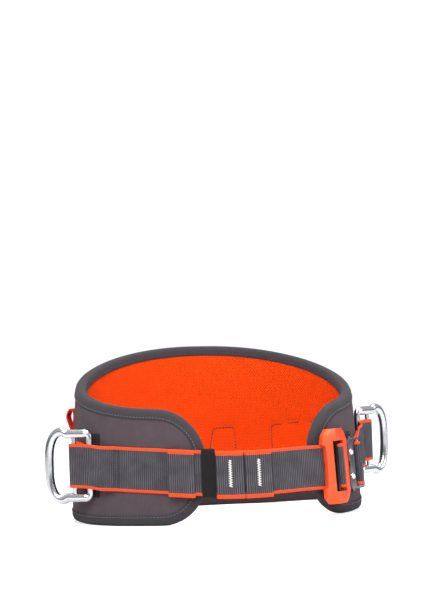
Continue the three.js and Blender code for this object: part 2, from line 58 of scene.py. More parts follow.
def makeCamera():
    look = {"place": (-0.43443, -1.62871, 0.15912), "turn": (92.261, 2.089, -14.769), "lens": 93.15}
    data = bpy.data.cameras.new("camera")
    data.lens = look["lens"]
    data.sensor_width = 36
    camera = bpy.data.objects.new("camera", data)
    camera.location = look["place"]
    camera.rotation_euler = [math.radians(angle) for angle in look["turn"]]
    bpy.context.scene.collection.objects.link(camera)
    bpy.context.scene.camera = camera


def addSoftbox(name, place, width, height, power, aim=(0, 0, 0.07)):
    data = bpy.data.lights.new(name, "AREA")
    data.shape = "RECTANGLE"
    data.size = width
    data.size_y = height
    data.energy = power
    light = bpy.data.objects.new(name, data)
    light.location = place
    light.rotation_mode = "QUATERNION"
    light.rotation_quaternion = (Vector(aim) - Vector(place)).to_track_quat("-Z", "Y")
    bpy.context.scene.collection.objects.link(light)


def makeStudio():
    bpy.context.scene.view_settings.view_transform = "Standard"
    world = bpy.data.worlds.new("studio")
    bpy.context.scene.world = world
    world.use_nodes = True
    tree = world.node_tree
    tree.nodes.clear()
    output = tree.nodes.new("ShaderNodeOutputWorld")
    mix = tree.nodes.new("ShaderNodeMixShader")
    path = tree.nodes.new("ShaderNodeLightPath")
    seen = tree.nodes.new("ShaderNodeBackground")
    seen.inputs["Color"].default_value = (1, 1, 1, 1)
    room = tree.nodes.new("ShaderNodeBackground")
    room.inputs["Strength"].default_value = 0.6
    ramp = tree.nodes.new("ShaderNodeValToRGB")
    split = tree.nodes.new("ShaderNodeSeparateXYZ")
    coords = tree.nodes.new("ShaderNodeTexCoord")
    height = tree.nodes.new("ShaderNodeMapRange")
    height.inputs["From Min"].default_value = -1
    stops = ramp.color_ramp.elements
    stops[0].position = 0.0
    stops[0].color = (0.55, 0.55, 0.56, 1)
    stops[1].position = 1.0
    stops[1].color = (1, 1, 1, 1)
    for place, level in ((0.36, 0.5), (0.46, 0.06), (0.53, 0.05), (0.6, 0.55), (0.7, 0.95)):
        stops.new(place).color = (level, level, level * 1.02, 1)
    tree.links.new(coords.outputs["Generated"], split.inputs[0])
    tree.links.new(split.outputs["Z"], height.inputs["Value"])
    tree.links.new(height.outputs["Result"], ramp.inputs["Fac"])
    tree.links.new(ramp.outputs["Color"], room.inputs["Color"])
    tree.links.new(path.outputs["Is Camera Ray"], mix.inputs[0])
    tree.links.new(room.outputs[0], mix.inputs[1])
    tree.links.new(seen.outputs[0], mix.inputs[2])
    tree.links.new(mix.outputs[0], output.inputs["Surface"])
    addSoftbox("keySoftbox", (-0.9, -1.5, 1.3), 1.1, 0.9, 29)
    addSoftbox("fillSoftbox", (1.3, -0.9, 0.7), 0.7, 1.0, 13)
    addSoftbox("topSoftbox", (0.1, 0.2, 1.6), 1.4, 1.0, 24)
    addSoftbox("liningSoftbox", (-0.25, -0.75, 1.1), 0.5, 0.4, 9, aim=(0, 0.11, 0.12))


def makeFloor():
    bpy.ops.object.select_all(action="DESELECT")
    bpy.ops.mesh.primitive_plane_add(size=14, location=(0, 0, 0))
    floor = bpy.context.object
    floor.name = "floor"
    material = bpy.data.materials.new("paleFloor")
    material.use_nodes = True
    tree = material.node_tree
    shader = tree.nodes["Principled BSDF"]
    shader.inputs["Base Color"].default_value = (0.72, 0.72, 0.72, 1)
    shader.inputs["Roughness"].default_value = 0.9
    shader.inputs["Specular IOR Level"].default_value = 0.1
    shader.inputs["Emission Color"].default_value = (1, 1, 1, 1)
    path = tree.nodes.new("ShaderNodeLightPath")
    glow = tree.nodes.new("ShaderNodeMath")
    glow.operation = "MULTIPLY"
    glow.inputs[1].default_value = 0.6   # the floor is lifted to white for the camera alone
    tree.links.new(path.outputs["Is Camera Ray"], glow.inputs[0])
    tree.links.new(glow.outputs[0], shader.inputs["Emission Strength"])
    floor.data.materials.append(material)


# materials: small helpers first, then the effects that several finishes share

def colour(red, green, blue):
    # screen values from 0 to 255, as the linear colour that a shader takes
    linear = []
    for value in (red, green, blue):
        share = value / 255
        linear.append(share / 12.92 if value < 10.3 else ((share + 0.055) / 1.055) ** 2.4)
    return (*linear, 1)


def put(tree, kind, values=None, **settings):
    node = tree.nodes.new(kind)
    for name, value in settings.items():
        setattr(node, name, value)
    for name, value in (values or {}).items():
        if isinstance(value, bpy.types.NodeSocket):
            tree.links.new(value, node.inputs[name])
        else:
            node.inputs[name].default_value = value
    return node


def maths(tree, operation, first, second=0.0, third=0.0):
    return put(tree, "ShaderNodeMath", {0: first, 1: second, 2: third}, operation=operation).outputs[0]


def blendColours(tree, share, first, second):
    node = tree.nodes.new("ShaderNodeMix")
    node.data_type = "RGBA"
    for index, value in ((0, share), (6, first), (7, second)):
        if isinstance(value, bpy.types.NodeSocket):
            tree.links.new(value, node.inputs[index])
        else:
            node.inputs[index].default_value = value
    return node.outputs[2]


def newGroup(name, inputs, outputs):
    group = bpy.data.node_groups.new(name, "ShaderNodeTree")
    for label, kind, value in inputs:
        socket = group.interface.new_socket(label, in_out="INPUT", socket_type="NodeSocket" + kind)
        if value is not None:
            socket.default_value = value
    for label, kind in outputs:
        group.interface.new_socket(label, in_out="OUTPUT", socket_type="NodeSocket" + kind)
    return group, group.nodes.new("NodeGroupInput").outputs, group.nodes.new("NodeGroupOutput").inputs


def makeWeave():
    # plain weave: two crossed sets of threads, in metres along the piece's own map
    group, given, result = newGroup(
        "clothWeave",
        [("Place", "Vector", None), ("Pitch", "Float", 0.001), ("Uneven", "Float", 0.3)],
        [("Height", "Float"), ("Shade", "Float")],
    )
    split = put(group, "ShaderNodeSeparateXYZ", {0: given["Place"]}).outputs
    turn = maths(group, "DIVIDE", 2 * math.pi, given["Pitch"])
    across = maths(group, "SINE", maths(group, "MULTIPLY", split[0], turn))
    along = maths(group, "SINE", maths(group, "MULTIPLY", split[1], turn))
    woven = maths(group, "MULTIPLY", across, along)
    cloud = put(group, "ShaderNodeTexNoise", {"Vector": given["Place"], "Scale": 90.0, "Detail": 4.0})
    fine = put(group, "ShaderNodeTexNoise", {"Vector": given["Place"], "Scale": 1400.0, "Detail": 2.0})
    uneven = maths(group, "MULTIPLY", maths(group, "SUBTRACT", cloud.outputs["Fac"], 0.5), given["Uneven"])
    grain = maths(group, "MULTIPLY_ADD", fine.outputs["Fac"], 0.5, maths(group, "MULTIPLY", woven, 0.5))
    group.links.new(grain, result["Height"])
    shade = maths(group, "ADD", maths(group, "MULTIPLY_ADD", grain, 0.22, 0.78), uneven)
    group.links.new(shade, result["Shade"])
    return group


def makeRibs():
    # raised ribs that run across a strap, with the crest of every rib painted lighter as a painted highlight
    group, given, result = newGroup(
        "crossRibs",
        [("Place", "Vector", None), ("Pitch", "Float", 0.002)],
        [("Height", "Float"), ("Light", "Float")],
    )
    split = put(group, "ShaderNodeSeparateXYZ", {0: given["Place"]}).outputs
    wobble = put(group, "ShaderNodeTexNoise", {"Vector": given["Place"], "Scale": 60.0, "Detail": 2.0})
    shift = maths(group, "MULTIPLY", wobble.outputs["Fac"], 0.0007)
    turn = maths(group, "DIVIDE", 2 * math.pi, given["Pitch"])
    wave = maths(group, "SINE", maths(group, "MULTIPLY", maths(group, "ADD", split[0], shift), turn))
    threads = maths(group, "SINE", maths(group, "MULTIPLY", split[1], 2 * math.pi / 0.0011))
    height = maths(group, "MULTIPLY_ADD", wave, 0.5, maths(group, "MULTIPLY_ADD", threads, 0.12, 0.5))
    group.links.new(height, result["Height"])
    # painted highlight: the rib crests are made lighter, broken up by the wobble noise
    crest = put(group, "ShaderNodeMapRange", {"Value": height, "From Min": 0.55, "From Max": 1.0})
    patchy = maths(group, "MULTIPLY_ADD", wobble.outputs["Fac"], 1.4, -0.25)
    group.links.new(maths(group, "MULTIPLY", crest.outputs[0], patchy), result["Light"])
    return group


def makeMetalWear():
    # fine rubbed lines and a soft cloudiness in the polish
    group, given, result = newGroup(
        "metalWear",
        [("Place", "Vector", None), ("Fineness", "Float", 900.0)],
        [("Height", "Float"), ("Rough", "Float"), ("Worn", "Float")],
    )
    stretched = put(group, "ShaderNodeMapping", {"Vector": given["Place"], "Scale": (1.0, 1.0, 0.16)})
    lines = put(group, "ShaderNodeTexNoise", {"Vector": stretched.outputs[0], "Scale": given["Fineness"]})
    cloud = put(group, "ShaderNodeTexNoise", {"Vector": given["Place"], "Scale": 55.0, "Detail": 5.0})
    group.links.new(lines.outputs["Fac"], result["Height"])
    mixed = maths(group, "MULTIPLY", lines.outputs["Fac"], cloud.outputs["Fac"])
    group.links.new(mixed, result["Rough"])
    cloudiness = cloud.outputs["Fac"]
    worn = put(group, "ShaderNodeMapRange", {"Value": cloudiness, "From Min": 0.55, "From Max": 0.75})
    group.links.new(worn.outputs[0], result["Worn"])
    return group


def startMaterial(name, roughness, metallic=0.0, sheen=0.0):
    material = bpy.data.materials.new(name)
    material.use_nodes = True
    tree = material.node_tree
    shader = tree.nodes["Principled BSDF"]
    shader.inputs["Roughness"].default_value = roughness
    shader.inputs["Metallic"].default_value = metallic
    shader.inputs["Sheen Weight"].default_value = sheen
    shader.inputs["Sheen Roughness"].default_value = 0.5
    coords = tree.nodes.new("ShaderNodeTexCoord")
    return material, tree, shader, coords


def bumpSurface(tree, shader, height, distance, strength=1.0):
    bump = put(tree, "ShaderNodeBump", {"Height": height, "Distance": distance, "Strength": strength})
    tree.links.new(bump.outputs["Normal"], shader.inputs["Normal"])


def useGroup(tree, group, place, **values):
    node = put(tree, "ShaderNodeGroup", node_tree=group)
    tree.links.new(place, node.inputs["Place"])
    for name, value in values.items():
        node.inputs[name].default_value = value
    return node.outputs


def shadeColour(tree, base, shade):
    dark = tuple(c * 0.35 for c in base[:3]) + (1,)
    return blendColours(tree, shade, dark, base)


def clothMaterial(name, base, pitch, depth, roughness=0.9, sheen=0.04, uneven=0.3, ribPitch=0):
    material, tree, shader, coords = startMaterial(name, roughness, sheen=sheen)
    shader.inputs["Specular IOR Level"].default_value = 0.2
    place = coords.outputs["UV"]
    weave = useGroup(tree, groups["weave"], place, Pitch=pitch, Uneven=uneven)
    height = weave["Height"]
    if ribPitch:
        ribs = useGroup(tree, groups["ribs"], place, Pitch=ribPitch)
        height = maths(tree, "MULTIPLY_ADD", ribs["Height"], 0.6, height)
    tree.links.new(shadeColour(tree, base, weave["Shade"]), shader.inputs["Base Color"])
    bumpSurface(tree, shader, height, depth)
    return material


def meshMaterial():
    # knitted spacer mesh: staggered small holes in bright fabric, each hole painted darker as painted shade
    material, tree, shader, coords = startMaterial("spacerMesh", 0.85)
    shader.inputs["Specular IOR Level"].default_value = 0.1
    place = coords.outputs["UV"]
    split = put(tree, "ShaderNodeSeparateXYZ", {0: place}).outputs
    pitch = 0.0034
    across = maths(tree, "SINE", maths(tree, "MULTIPLY", split[0], 2 * math.pi / pitch))
    along = maths(tree, "SINE", maths(tree, "MULTIPLY", split[1], 2 * math.pi / pitch))
    lattice = maths(tree, "MULTIPLY", across, along)
    holes = put(tree, "ShaderNodeMapRange", {"Value": lattice, "From Min": 0.15, "From Max": 0.75})
    weave = useGroup(tree, groups["weave"], place, Pitch=0.0011, Uneven=0.12)
    bright = shadeColour(tree, colour(255, 76, 8), maths(tree, "ADD", weave["Shade"], 0.12))
    # painted shade: the holes are darkened towards a deep red
    holeShade = maths(tree, "MULTIPLY", holes.outputs[0], 0.5)
    tint = blendColours(tree, holeShade, bright, colour(186, 30, 4))
    tree.links.new(tint, shader.inputs["Base Color"])
    height = maths(tree, "MULTIPLY_ADD", holes.outputs[0], -1.6, weave["Height"])
    bumpSurface(tree, shader, height, 0.0005)
    return material


def webbingMaterial():
    # ribbed grey webbing with a bright selvedge along both edges
    material, tree, shader, coords = startMaterial("ribbedWebbing", 0.75, sheen=0.05)
    shader.inputs["Specular IOR Level"].default_value = 0.25
    place = coords.outputs["UV"]
    split = put(tree, "ShaderNodeSeparateXYZ", {0: place}).outputs
    ribs = useGroup(tree, groups["ribs"], place, Pitch=0.0021)
    weave = useGroup(tree, groups["weave"], place, Pitch=0.0009, Uneven=0.35)
    grey = shadeColour(tree, colour(50, 48, 53), weave["Shade"])
    # the rib crests blend towards a light grey: painted highlight on the ribs
    lit = blendColours(tree, maths(tree, "MULTIPLY", ribs["Light"], 0.7), grey, colour(138, 135, 141))
    orange = shadeColour(tree, colour(250, 72, 14), weave["Shade"])
    half = (webbing["width"] / 2 - webbing["edge"]) * mm
    fromMiddle = maths(tree, "ABSOLUTE", split[1])
    blur = 0.0002
    edge = put(
        tree, "ShaderNodeMapRange",
        {"Value": fromMiddle, "From Min": half - blur, "From Max": half + blur})
    tree.links.new(blendColours(tree, edge.outputs[0], lit, orange), shader.inputs["Base Color"])
    height = maths(tree, "MULTIPLY_ADD", weave["Height"], 0.3, ribs["Height"])
    bumpSurface(tree, shader, height, 0.0005)
    return material


def threadMaterial(name, base):
    material, tree, shader, coords = startMaterial(name, 0.6, sheen=0.2)
    place = coords.outputs["Object"]
    twist = put(tree, "ShaderNodeTexNoise", {"Vector": place, "Scale": 2600.0, "Detail": 2.0})
    tree.links.new(shadeColour(tree, base, twist.outputs["Fac"]), shader.inputs["Base Color"])
    bumpSurface(tree, shader, twist.outputs["Fac"], 0.0002)
    return material


def metalMaterial(name, base, roughness, spread, fineness=900.0, worn=None, metallic=1.0, depth=0.00002):
    material, tree, shader, coords = startMaterial(name, roughness, metallic)
    wear = useGroup(tree, groups["wear"], coords.outputs["Object"], Fineness=fineness)
    rubbed = worn or tuple(c * 0.86 for c in base[:3]) + (1,)
    tint = blendColours(tree, wear["Worn"], base, rubbed)
    tree.links.new(tint, shader.inputs["Base Color"])
    rough = maths(tree, "MULTIPLY_ADD", wear["Rough"], spread, roughness)
    tree.links.new(rough, shader.inputs["Roughness"])
    bumpSurface(tree, shader, wear["Height"], depth)
    return material


groups = {"weave": makeWeave(), "ribs": makeRibs(), "wear": makeMetalWear()}
finishes = {
    "pad_cover": clothMaterial(
        "padCloth", colour(80, 69, 74), 0.0011, 0.00035, uneven=0.5, ribPitch=0.0045),
    "mesh": meshMaterial(),
    "binding": clothMaterial(
        "bindingTape", colour(60, 57, 61), 0.0013, 0.0003, uneven=0.35, ribPitch=0.0016),
    "webbing": webbingMaterial(),
    # black patch cloth; on the two ring patches it is partly a real patch and partly painted shade
    "patch": clothMaterial("patchClothAndShade", colour(24, 22, 24), 0.0012, 0.0003),
    "elastic": clothMaterial("elasticBand", colour(26, 23, 24), 0.0009, 0.0004, ribPitch=0.0024),
    "loop_tape": clothMaterial("loopTape", colour(226, 36, 16), 0.0012, 0.0003, ribPitch=0.0019),
    "darkThread": threadMaterial("darkThread", colour(28, 26, 28)),
    "paleThread": threadMaterial("paleThread", colour(104, 101, 106)),
    "whiteThread": threadMaterial("whiteThread", colour(246, 244, 242)),
    "seamThread": threadMaterial("seamThread", colour(92, 20, 4)),
    "orange_metal": metalMaterial(
        "orangeFrame", colour(244, 74, 26), 0.34, 0.3, 700.0, worn=colour(250, 104, 60), metallic=0.35),
    "black_metal": metalMaterial("blackSlider", colour(34, 32, 34), 0.3, 0.3, worn=colour(60, 58, 60)),
    "grey_metal": metalMaterial("greySteel", colour(118, 118, 122), 0.3, 0.35),
    "rivet_metal": metalMaterial("polishedRivet", colour(214, 215, 218), 0.12, 0.2),
    "spring_metal": metalMaterial("springWire", colour(150, 150, 154), 0.25, 0.3),
    "ring_metal": metalMaterial(
        "polishedAlloy", colour(204, 205, 208), 0.16, 0.2, 1100.0, depth=0.000005),
}
print("materials made:", len(finishes))


# the plan of the waist: places are given as a length around it from the middle of the back, an offset off
# the pad's outer face and a height off the strap's middle line

def planPoint(angle, offset):
    angle = np.asarray(angle, float)
    halfWidth = np.where(np.sin(angle) < 0, waist["leftHalf"], waist["rightHalf"])
    normal = np.stack([np.sin(angle) / halfWidth, np.cos(angle) / waist["halfDepth"]], -1)
    normal /= np.linalg.norm(normal, axis=-1, keepdims=True)
    point = np.stack([halfWidth * np.sin(angle), waist["halfDepth"] * np.cos(angle)], -1)
    return point + normal * np.asarray(offset, float)[..., None]


planAngles = np.linspace(0, 2 * math.pi, 2881)
planPath = planPoint(planAngles, 0.0)
arcLengths = np.concatenate([[0], np.cumsum(np.linalg.norm(np.diff(planPath, axis=0), axis=1))])


def angleAt(around):
    return np.interp(np.mod(around, arcLengths[-1]), arcLengths, planAngles)


def strapHeight(around):
    plan = planPoint(angleAt(around), 0.0)
    return strapLine["height"] + strapLine["tilt"] * plan[..., 1] + strapLine["sideTilt"] * plan[..., 0]


def onPad(around, offset, height):
    # a point off the pad's outer face, in the row frame's millimetres
    given = [np.asarray(value, float) for value in (around, offset, height)]
    around, offset, height = np.broadcast_arrays(*given)
    plan = planPoint(angleAt(around), offset - waist["flare"] * height)
    level = strapHeight(around) + height
    return np.concatenate([plan + np.array(waist["middle"]), level[..., None]], -1)


def outwardAt(points):
    local = np.asarray(points)[..., :2] - np.array(waist["middle"])
    halfWidth = np.where(local[..., 0] < 0, waist["leftHalf"], waist["rightHalf"])
    out = np.stack([local[..., 0] / halfWidth**2, local[..., 1] / waist["halfDepth"] ** 2], -1)
    out /= np.linalg.norm(out, axis=-1, keepdims=True)
    return np.concatenate([out, np.zeros(out.shape[:-1] + (1,))], -1)


def frameAt(x, y, z, headingDegrees, lean):
    # a local frame: x along a plan heading, y up, z out; the place is given from the middle of the plan
    heading = math.radians(headingDegrees)
    along = np.array([math.cos(heading), math.sin(heading), 0])
    up = np.array([0, 0, 1]) - lean * np.cross(along, [0, 0, 1])
    up /= np.linalg.norm(up)
    middle = np.array([x + waist["middle"][0], y + waist["middle"][1], z])
    return {"axes": np.array([along, up, np.cross(along, up)]), "middle": middle}


def inFrame(local, places):
    # [along, out, rise] places in a local frame
    rows = np.array([(p[0], p[2] if len(p) > 2 else 0, p[1]) for p in places], float)
    return rows @ local["axes"] + local["middle"]


def aroundBar(along, radius, fromDegrees, toDegrees, steps=8):
    angles = np.radians(np.linspace(fromDegrees, toDegrees, steps + 1))
    return [(along + radius * math.cos(a), radius * math.sin(a)) for a in angles]


# mesh helpers

def meshPiece(name, points, faces, corners=None, finish=None, body="belt", smooth=60):
    mesh = bpy.data.meshes.new(name)
    mesh.from_pydata([tuple(float(c) * mm for c in p) for p in points], [], [tuple(f) for f in faces])
    if corners is not None:
        layer = mesh.uv_layers.new(name="map")
        layer.data.foreach_set("uv", (np.asarray(corners, np.float32) * mm).ravel())
    made = bmesh.new()
    made.from_mesh(mesh)
    bmesh.ops.recalc_face_normals(made, faces=made.faces)
    made.to_mesh(mesh)
    made.free()
    piece = bpy.data.objects.new(name, mesh)
    bpy.context.scene.collection.objects.link(piece)
    mesh.materials.append(finishes[finish])
    bpy.ops.object.select_all(action="DESELECT")
    piece.select_set(True)
    bpy.context.view_layer.objects.active = piece
    bpy.ops.object.shade_smooth_by_angle(angle=math.radians(smooth))
    if body:
        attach(piece, body)
    return piece


def loft(rings, us, vs, closed=False):
    # points, faces and corner maps of a surface through rings of points
    rings = np.asarray(rings, float)
    count, sides = rings.shape[:2]
    faces, corners = [], []
    for i in range(count if closed else count - 1):
        a, b = i * sides, ((i + 1) % count) * sides
        for k in range(sides):
            n = (k + 1) % sides
            faces.append((a + k, b + k, b + n, a + n))
            corners += [(us[i], vs[k]), (us[i + 1], vs[k]), (us[i + 1], vs[k + 1]), (us[i], vs[k + 1])]
    if not closed:
        for i, order in ((0, range(sides)), (count - 1, reversed(range(sides)))):
            order = list(order)
            faces.append([i * sides + k for k in order])
            corners += [(us[i], vs[k]) for k in order]
    return rings.reshape(-1, 3), faces, corners


def addTogether(parts):
    points, faces, corners, start = [], [], [], 0
    for somePoints, someFaces, someCorners in parts:
        points.append(np.asarray(somePoints))
        faces += [tuple(start + v for v in face) for face in someFaces]
        corners += list(someCorners)
        start += len(somePoints)
    return np.concatenate(points), faces, corners


def smoothPath(controls, spacing):
    # a centripetal Catmull-Rom line through the controls, in even steps; further columns go along with it
    controls = np.asarray(controls, float)
    first = 2 * controls[0] - controls[1]
    last = 2 * controls[-1] - controls[-2]
    knots = np.concatenate([[first], controls, [last]])
    line = []
    for p0, p1, p2, p3 in zip(knots, knots[1:], knots[2:], knots[3:]):
        t1 = np.linalg.norm((p1 - p0)[:3]) ** 0.5
        t2 = t1 + np.linalg.norm((p2 - p1)[:3]) ** 0.5
        t3 = t2 + np.linalg.norm((p3 - p2)[:3]) ** 0.5
        t = np.linspace(t1, t2, 24, endpoint=False)[:, None]
        a1 = (t1 - t) / t1 * p0 + t / t1 * p1
        a2 = (t2 - t) / (t2 - t1) * p1 + (t - t1) / (t2 - t1) * p2
        a3 = (t3 - t) / (t3 - t2) * p2 + (t - t2) / (t3 - t2) * p3
        b1 = (t2 - t) / t2 * a1 + t / t2 * a2
        b2 = (t3 - t) / (t3 - t1) * a2 + (t - t1) / (t3 - t1) * a3
        line.append((t2 - t) / (t2 - t1) * b1 + (t - t1) / (t2 - t1) * b2)
    line = np.concatenate(line + [controls[-1:]])
    lengths = np.concatenate([[0], np.cumsum(np.linalg.norm(np.diff(line[:, :3], axis=0), axis=1))])
    even = np.linspace(0, lengths[-1], max(3, int(round(lengths[-1] / spacing)) + 1))
    return np.stack([np.interp(even, lengths, line[:, c]) for c in range(line.shape[1])], -1), even


def strapFrames(path):
    # the middle line of a strap on edge: its face direction and its edgewise direction at each step
    centres, lean = path[:, :3], path[:, 3:4]
    along = np.gradient(centres, axis=0)
    face = np.stack([along[:, 1], -along[:, 0], np.zeros(len(along))], -1)
    face /= np.linalg.norm(face, axis=1, keepdims=True)
    up = np.array([0, 0, 1]) - lean * outwardAt(centres)
    return centres, face, up


def strapSection(width=webbing["width"], thickness=webbing["thickness"]):
    # half a strap's outline has a thicker selvedge at its edge and is flat to the middle
    half, thick = width / 2, thickness / 2
    rim = [(half, 0), (half - 0.15, 0.5), (half - 0.6, 0.95)]
    rim += [(half - 1.5, 1.18), (half - 2.5, 1.1), (half - 3.1, 0.95)]
    flat = [(half * share, 1.0) for share in (0.72, 0.5, 0.25)]
    upper = rim + flat + [(0, 1.0)] + [(-v, t) for v, t in reversed(rim + flat)]
    lower = [(v, -t) for v, t in reversed(upper[1:-1])]
    return np.array([(v, t * thick) for v, t in upper + lower])


def strapMesh(path, us, width=webbing["width"], thickness=webbing["thickness"]):
    centres, face, up = strapFrames(path)
    section = strapSection(width, thickness)
    rings = centres[:, None] + up[:, None] * section[None, :, :1] + face[:, None] * section[None, :, 1:]
    vs = list(section[:, 0]) + [section[0, 0]]
    return loft(rings, us, vs)


def padPlaces(places, lean=waist["flare"]):
    # [around, offset, rise] places along the pad, each with the lean of its edge
    rows = []
    for place in places:
        around, offset = place[:2]
        rise = place[2] if len(place) > 2 else 0
        rows.append([*(onPad(around, offset, 0) + np.array([0, 0, rise])), lean])
    return rows


def framePlaces(local, places, lean=waist["flare"]):
    return [[*point, lean] for point in inFrame(local, places)]


def dashes(points, outs, length=2.3, gap=1.0, radius=0.34):
    # stitches along a line: short rounded threads half sunk in the cloth
    points, outs = np.asarray(points, float), np.asarray(outs, float)
    lengths = np.concatenate([[0], np.cumsum(np.linalg.norm(np.diff(points, axis=0), axis=1))])

    def at(where, values):
        return np.stack([np.interp(where, lengths, values[:, c]) for c in range(3)], -1)

    parts = []
    for start in np.arange(0.2, lengths[-1] - length, length + gap):
        ends = at(np.array([start, start + length]), points)
        out = at(np.array([start + length / 2]), outs)[0]
        along = ends[1] - ends[0]
        side = np.cross(along, out)
        side /= np.linalg.norm(side)
        rings = []
        for share, size in ((0.0, 0.35), (0.2, 0.9), (0.5, 1.0), (0.8, 0.9), (1.0, 0.35)):
            middle = ends[0] + along * share + out * radius * 0.35 * size
            angles = np.arange(6) * math.pi / 3
            circle = np.outer(np.cos(angles), side) + np.outer(np.sin(angles), out)
            rings.append(middle + circle * radius * size)
        parts.append(loft(rings, [0, 1, 2, 3, 4], range(7)))
    return addTogether(parts)


def tube(points, radius, sides=8, closed=False):
    # a round thread or wire along a line, turned as little as it can be
    points = np.asarray(points, float)
    along = np.gradient(points, axis=0)
    along /= np.linalg.norm(along, axis=1, keepdims=True)
    side = np.cross(along[0], [0.3, 0.1, 1])
    rings = []
    for point, ahead in zip(points, along):
        side = side - ahead * (side @ ahead)
        side /= np.linalg.norm(side)
        other = np.cross(ahead, side)
        angles = np.arange(sides) * 2 * math.pi / sides
        rings.append(point + radius * (np.outer(np.cos(angles), side) + np.outer(np.sin(angles), other)))
    us = np.concatenate([[0], np.cumsum(np.linalg.norm(np.diff(points, axis=0), axis=1))])
    return loft(rings, list(us) + [us[-1]], range(sides + 1), closed)


def sewOn(name, parts, finish, body="belt"):
    piece = meshPiece(name, *parts, finish=finish, body=body)
    return piece


# the padded belt: cover, mesh lining and the tape over its edge

pad = {
    "leftEnd": -384, "rightEnd": 335, "crestAt": 6, "topCorner": 50, "bottomCorner": 46,
    "backTop": 112, "frontTop": 61.5, "crest": (3, 150), "arch": 4.5, "archSpan": (18, 128),
    "thickness": 12.2, "middle": 6.2, "rows": 46, "inset": 1.2, "crown": 3.0, "pinch": 6.5,
    "seamDepth": 1.7, "seamWidth": 2.2, "fill": 0.6,
}


def easeDown(degrees, start, end):
    return (1 + np.cos(math.pi * np.clip((degrees - start) / (end - start), 0, 1))) / 2


def padEdges(around, inset=0.0):
    turn = np.degrees(angleAt(np.abs(around - pad["crestAt"])))
    crest = easeDown(turn, *pad["crest"])
    archFrom, archTo = pad["archSpan"]
    lift = pad["arch"] * easeDown(np.abs(turn * 2 - archFrom - archTo), 0, archTo - archFrom)
    toEnd = np.minimum(around - pad["leftEnd"], pad["rightEnd"] - around)

    def rounding(corner):
        past = np.clip(corner - toEnd, 0, corner - inset)
        return corner - inset - np.sqrt(np.maximum(0, (corner - inset) ** 2 - past**2))

    top = pad["frontTop"] + (pad["backTop"] - pad["frontTop"]) * crest - inset - rounding(pad["topCorner"])
    bottom = lift - strapHeight(around) + inset + rounding(pad["bottomCorner"])
    return top, bottom


def padStations(inset, corner=50, cornerSteps=22, straightSteps=200):
    bend = corner - (corner - inset) * np.cos(np.linspace(0, math.pi / 2, cornerSteps, endpoint=False))
    straight = np.linspace(pad["leftEnd"] + corner, pad["rightEnd"] - corner, straightSteps)
    return np.concatenate([pad["leftEnd"] + bend, straight, pad["rightEnd"] - bend[::-1]])


def padOutline(step=2.5):
    around = padStations(0.0)
    top, bottom = padEdges(around)
    line = np.concatenate([np.stack([around, top], -1), np.stack([around, bottom], -1)[::-1]])
    closed = np.concatenate([line, line[:1]])
    lengths = np.concatenate([[0], np.cumsum(np.linalg.norm(np.diff(closed, axis=0), axis=1))])
    even = np.linspace(0, lengths[-1], int(lengths[-1] / step), endpoint=False)
    outline = np.stack([np.interp(even, lengths, closed[:, c]) for c in (0, 1)], -1)
    return outline, list(even) + [lengths[-1]]


outline, outlineLengths = padOutline()


def nearestDistance(places, line):
    # the work is split up to keep the tables small
    nearest = []
    for part in np.array_split(places, max(1, len(places) // 2000)):
        nearest.append(np.min(np.linalg.norm(line[None] - part[:, None], axis=2), axis=1))
    return np.concatenate(nearest)


def fromEdge(around, height):
    # distance from the pad's edge, measured flat on the pad
    flat = np.stack([around.ravel(), height.ravel()], -1)
    return nearestDistance(flat, outline).reshape(around.shape)


seams = {
    "middle": 2.0,   # the seams mirror about here
    "lines": [
        [(8.4, -8), (12.8, 16), (14.5, 18.2), (37, 19.8), (39, 18), (40.2, -8)],
        [(84.5, -8), (84.5, 21), (86.5, 22.8), (123, 27.9), (149, 29.4), (190, 28)],
    ],
}


def seamLines():
    lines = []
    for line in seams["lines"]:
        for side in (-1, 1):
            corners = np.array([(seams["middle"] + side * a, h) for a, h in line], float)
            lengths = np.concatenate([[0], np.cumsum(np.linalg.norm(np.diff(corners, axis=0), axis=1))])
            even = np.linspace(0, lengths[-1], int(lengths[-1] / 1.5))
            lines.append(np.stack([np.interp(even, lengths, corners[:, c]) for c in (0, 1)], -1))
    return lines


def coverOffset(edge):
    return 0.25 - pad["crown"] * np.exp(-edge / pad["pinch"])


def liningOffset(around, height, edge):
    # the lining swells the other way, with a slight ripple and a groove along each seam
    level = -pad["thickness"] + 0.1 + pad["crown"] * np.exp(-edge / pad["pinch"])
    ripple = 0.22 * np.sin(around / 17 + height / 23) + 0.18 * np.sin(around / 31 - height / 12)
    flat = np.stack([around.ravel(), height.ravel()], -1)
    every = np.concatenate(seamLines())
    nearest = nearestDistance(flat, every).reshape(around.shape)
    groove = pad["seamDepth"] * np.exp(-((nearest / pad["seamWidth"]) ** 2))
    return level + groove + ripple * (1 - np.exp(-edge / 14))


